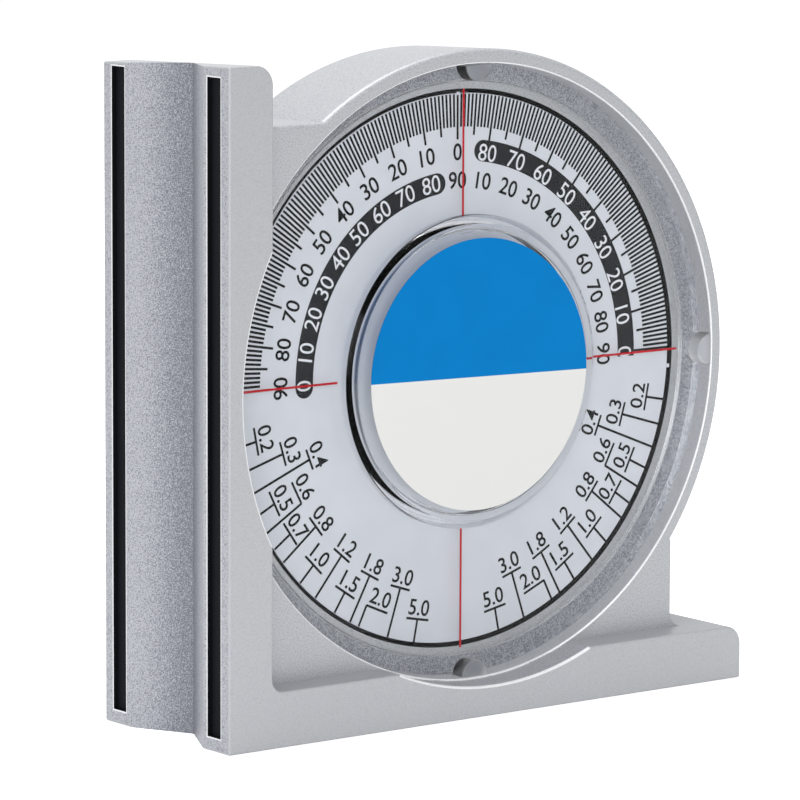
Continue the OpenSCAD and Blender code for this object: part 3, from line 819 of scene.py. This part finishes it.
# %% Dark bands behind the white numbers
def band(name, inner, outer, start, end):
    """A flat curved band of ink with round ends, from one angle to another, clockwise from the top."""
    radius, half = (inner + outer) / 2 * DIAL_R, (outer - inner) / 2 * DIAL_R
    turned_band = turned(name, [(radius - half, DIAL_Y), (radius + half, DIAL_Y),
                                (radius + half, DIAL_Y - INK_T), (radius - half, DIAL_Y - INK_T)], sides=360)
    pick(turned_band)
    bpy.ops.object.mode_set(mode="EDIT")

    def outside(face):
        centre = face.calc_center_median()
        at = math.degrees(math.atan2(centre.x - AXIS_X, centre.z - AXIS_Z))
        return not start <= at <= end

    choose(turned_band, faces=outside)
    bpy.ops.mesh.delete(type="FACE")
    bpy.ops.mesh.select_all(action="SELECT")
    bpy.ops.mesh.region_to_loop()
    bpy.ops.mesh.fill()
    deselect()
    for angle in (start, end):
        x, z = around(radius, angle)
        cap = rod("cap", half, x, z, DIAL_Y - INK_T, DIAL_Y, sides=48)
        combine(turned_band, cap, "UNION")
    return turned_band


bands = [band("band_right", 0.757, 0.835, 8.1, 90.8), band("band_left", 0.648, 0.725, -90.8, -8.1)]
dark_bands = joined("dial_bands", bands, band_ink)
dark_bands.data.transform(Matrix.Translation((PRINT_X, 0, PRINT_Z)))
place(dark_bands, "dial", "printed_sheet")
print("bands:", len(dark_bands.data.polygons), "faces")

# %% Nibs on the dial's edge, and placing the print
nibs = []
for angle in (0, 94):
    nib = block("nib", (-0.3, -0.25, 0), (0.3, 0.1, 0.5))
    nibs += copies(soften(nib, 0.1, 2), [on_dial(angle, DIAL_R - 0.2)])
place(joined("dial_edge_nibs", nibs, white_film), "dial", "printed_sheet")
black_print = place(joined("dial_black_print", marks, black_ink), "dial", "printed_sheet")
white_print = place(joined("dial_white_numbers", white_marks, white_ink), "dial", "printed_sheet")
print("black print:", len(black_print.data.polygons), "faces; white:", len(white_print.data.polygons))

# %% [markdown]
# ## The centre label
# The label is a vinyl disc, blue above and white below, and it lies in a shallow seat of the window. It was
# stuck on by hand, so it sits a little to the right and a little turned. The colours are split by place in the
# shader, with no second mesh.

# %% Two-colour vinyl
LABEL_X, LABEL_Z = AXIS_X + 0.75, AXIS_Z - 0.3
SPLIT_Z, LABEL_TURN = 51.18, 1.23


def two_colour_vinyl(name):
    """Printed vinyl with a satin over-laminate: blue above a straight line and white below."""
    material, tree = blank(name)
    place_on = add(tree, "ShaderNodeTexCoord")
    centred = add(tree, "ShaderNodeMapping", {
        "Location": (-LABEL_X * MM, 0, -SPLIT_Z * MM)}, {"Vector": place_on.outputs["Object"]})
    level = add(tree, "ShaderNodeMapping", {"Rotation": (0, -math.radians(LABEL_TURN), 0)},
                {"Vector": centred.outputs["Vector"]})
    split = add(tree, "ShaderNodeSeparateXYZ", links={"Vector": level.outputs["Vector"]})
    above = add(tree, "ShaderNodeMath", {1: 0.0}, {0: split.outputs["Z"]}, operation="GREATER_THAN")
    mottle = add(tree, "ShaderNodeTexNoise", {"Scale": per_mm(9), "Detail": 2.0},
                 {"Vector": place_on.outputs["Object"]})
    blue = add(tree, "ShaderNodeMix", {6: colour("0074BC"), 7: colour("0082CB")},
               {"Factor": mottle.outputs["Fac"]}, data_type="RGBA")
    tone = add(tree, "ShaderNodeMix", {6: colour("E5E5E3")},
               {"Factor": above.outputs[0], 7: blue.outputs[2]}, data_type="RGBA")
    surface = add(tree, "ShaderNodeBsdfPrincipled", {"Roughness": 0.45, "Specular IOR Level": 0.06},
                  {"Base Color": tone.outputs[2]})
    add(tree, "ShaderNodeOutputMaterial", links={"Surface": surface.outputs["BSDF"]})
    return material


label_vinyl = two_colour_vinyl("two_colour_vinyl")
LABEL_T, LABEL_GROWTH = 0.12, 0.15
label = rod("label_disc", LABEL_R + LABEL_GROWTH, LABEL_X, LABEL_Z, SEAT_Y - LABEL_T, SEAT_Y, sides=256)
soften(label, 0.04, 2)
label.data.materials.append(label_vinyl)
place(label, "case", "printed_vinyl", "centre_label")
print("label:", round(2 * LABEL_R, 1), "mm across, finish", label_vinyl.name)

# %% [markdown]
# ## Metals and small parts
# The parts behind the dial are turned, blanked or bought in. Each has a plain metal finish with a fine grain,
# drawn out along X on rolled sheet and even on the rest. They keep the frame's own shapes, because a finish is
# all that they need.

# %% Worked metal
def worked_metal(name, dark, light, roughness, grain_mm, stretch):
    """Bare metal whose fine lines run one way. stretch draws the grain out along X."""
    material, tree = blank(name)
    place_on = add(tree, "ShaderNodeTexCoord")
    drawn = add(tree, "ShaderNodeMapping", {"Scale": (1 / stretch, 1, 1)},
                {"Vector": place_on.outputs["Object"]})
    grain = add(tree, "ShaderNodeTexNoise", {"Scale": per_mm(grain_mm), "Detail": 3.0},
                {"Vector": drawn.outputs["Vector"]})
    tone = add(tree, "ShaderNodeValToRGB", links={"Fac": grain.outputs["Fac"]})
    tone.color_ramp.elements[0].color, tone.color_ramp.elements[1].color = colour(dark), colour(light)
    bump = add(tree, "ShaderNodeBump", {"Strength": 0.15, "Distance": 0.01 * MM},
               {"Height": grain.outputs["Fac"]})
    surface = add(tree, "ShaderNodeBsdfPrincipled", {"Metallic": 1.0, "Roughness": roughness},
                  {"Base Color": tone.outputs["Color"], "Normal": bump.outputs["Normal"]})
    add(tree, "ShaderNodeOutputMaterial", links={"Surface": surface.outputs["BSDF"]})
    return material


sheet_aluminium = worked_metal("rolled_sheet_aluminium", "B9BCC1", "CDD0D5", 0.4, 0.4, 8)
blued_steel = worked_metal("blued_mild_steel", "5A5E64", "72767C", 0.45, 0.6, 3)
zinc_steel = worked_metal("zinc_plated_steel", "9A9C9B", "B4B6B4", 0.35, 0.5, 1)
pin_steel = worked_metal("ground_pin_steel", "C2C5C9", "D4D7DA", 0.2, 0.3, 1)
clip_steel = worked_metal("black_spring_steel", "4A4D52", "5F6368", 0.35, 0.4, 1)
turned_brass = worked_metal("turned_brass", "B08A38", "C79F4A", 0.3, 0.3, 1)
bush_bronze = worked_metal("sintered_bronze", "94703A", "AC854A", 0.5, 0.2, 1)
rivet_metal = worked_metal("headed_aluminium", "B4B7BC", "C8CBD0", 0.35, 0.4, 1)
magnet_ferrite = bare_plastic("rubber_bonded_ferrite", "0D0E12", "13151A", 0.7)
washer_nylon = bare_plastic("natural_nylon", "E0DCCB", "EAE6D8", 0.45, shine=0.5)
print("metals ready")

# %% Dress the frame's own pieces
DRESS = {
    "front_bearing": bush_bronze, "rear_bearing": bush_bronze,
    "rear_cover": lacquer, "rear_cover_screws": zinc_steel, "side_magnet_front": magnet_ferrite,
    "side_magnet_rear": magnet_ferrite, "base_magnet_front": magnet_ferrite,
    "base_magnet_rear": magnet_ferrite,
    "dial_face": white_film, "dial_disc": sheet_aluminium, "counterweight": blued_steel,
    "counterweight_rivets": rivet_metal, "dial_hub": turned_brass, "axle": pin_steel, "axle_clip": clip_steel,
    "front_thrust_washer": washer_nylon, "rear_thrust_washer": washer_nylon}
for name, material in DRESS.items():
    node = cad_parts[name]
    node.data.materials.clear()
    node.data.materials.append(material)
print("dressed", len(DRESS), "pieces of the frame")

# %% [markdown]
# ## Floor, light and camera
# The studio is plain: a pale floor, an even white surround and two large soft lamps, at a level at which a
# colour renders as it is written. What the camera sees, also in metal and through clear plastic, is a white
# floor and surround, while the object's shadow stays.

# %% Floor
def rays_that_show(tree):
    """1 for rays that show the studio: the camera's own, and those off glossy and through clear surfaces."""
    path = add(tree, "ShaderNodeLightPath")
    seen = add(tree, "ShaderNodeMath", None, {
        0: path.outputs["Is Camera Ray"], 1: path.outputs["Is Glossy Ray"]}, operation="MAXIMUM")
    through = add(tree, "ShaderNodeMath", None, {
        0: seen.outputs[0], 1: path.outputs["Is Transmission Ray"]}, operation="MAXIMUM")
    return through.outputs[0]


deselect()
bpy.ops.mesh.primitive_plane_add(size=6)
floor = newest("studio_floor")
floor_paper, tree = blank("white_paper_roll")
paper = add(tree, "ShaderNodeBsdfDiffuse", {"Color": colour("F4F4F4")})
glow = add(tree, "ShaderNodeEmission", {"Color": (1, 1, 1, 1), "Strength": 0.5})
lit = add(tree, "ShaderNodeAddShader", None, {0: paper.outputs["BSDF"], 1: glow.outputs["Emission"]})
shown = add(tree, "ShaderNodeMixShader", None, {
    0: rays_that_show(tree), 1: paper.outputs["BSDF"], 2: lit.outputs["Shader"]})
add(tree, "ShaderNodeOutputMaterial", links={"Surface": shown.outputs["Shader"]})
floor.data.materials.append(floor_paper)
print("floor:", floor_paper.name)

# %% Surround
SURROUND_LEVEL = 0.5
world = bpy.data.worlds.new("white_studio")
bpy.context.scene.world = world
world.use_nodes = True
tree = world.node_tree
tree.nodes.clear()
soft = add(tree, "ShaderNodeBackground", {"Color": (1, 1, 1, 1), "Strength": SURROUND_LEVEL})
white = add(tree, "ShaderNodeBackground", {"Color": (1, 1, 1, 1), "Strength": 1.0})
shown = add(tree, "ShaderNodeMixShader", None, {
    0: rays_that_show(tree), 1: soft.outputs["Background"], 2: white.outputs["Background"]})
add(tree, "ShaderNodeOutputWorld", links={"Surface": shown.outputs["Shader"]})
print("surround at", SURROUND_LEVEL)


# %% Lamps
def lamp(name, place_at, size, watts):
    """A square soft lamp that looks at the object's middle."""
    deselect()
    bpy.ops.object.light_add(type="AREA", location=place_at)
    light = bpy.context.object
    light.name = name
    light.data.size, light.data.energy = size, watts
    towards = Vector((0, 0, 0.05)) - Vector(place_at)
    light.rotation_euler = towards.to_track_quat("-Z", "Y").to_euler()
    return light


lamp("overhead_softbox", (-0.1, 0.1, 1.0), 0.8, 9)
lamp("front_softbox", (-0.7, -1.0, 0.3), 0.6, 4.5)

# %% [markdown]
# ## Camera
# The camera stands where the photograph was taken from. Its place, aim and lens were found by matching the
# case's corners and the dial's lines: 0.8 m away, a long lens, turned 37.6 degrees to the right and 8.3 degrees
# down.

# %% Camera
CAMERA_AT = Vector((-0.4765, -0.6107, 0.1593))
TURN, DOWN, ROLL = math.radians(37.608), math.radians(8.293), math.radians(0.280)
LENS_MM = 230.5
look = Vector((math.sin(TURN) * math.cos(DOWN), math.cos(TURN) * math.cos(DOWN), -math.sin(DOWN)))
right = Vector((math.cos(TURN), -math.sin(TURN), 0))
up = right.cross(look)
tilted_right = right * math.cos(ROLL) + up * math.sin(ROLL)
tilted_up = up * math.cos(ROLL) - right * math.sin(ROLL)
deselect()
bpy.ops.object.camera_add()
camera = bpy.context.object
camera.matrix_world = Matrix((tilted_right, tilted_up, -look)).transposed().to_4x4()
camera.location = CAMERA_AT
camera.data.lens, camera.data.sensor_width = LENS_MM, 36
camera.data.clip_start, camera.data.clip_end = 0.05, 20
bpy.context.scene.camera = camera
bpy.context.scene.view_settings.view_transform = "Standard"
print("camera at", tuple(round(v, 3) for v in camera.location))
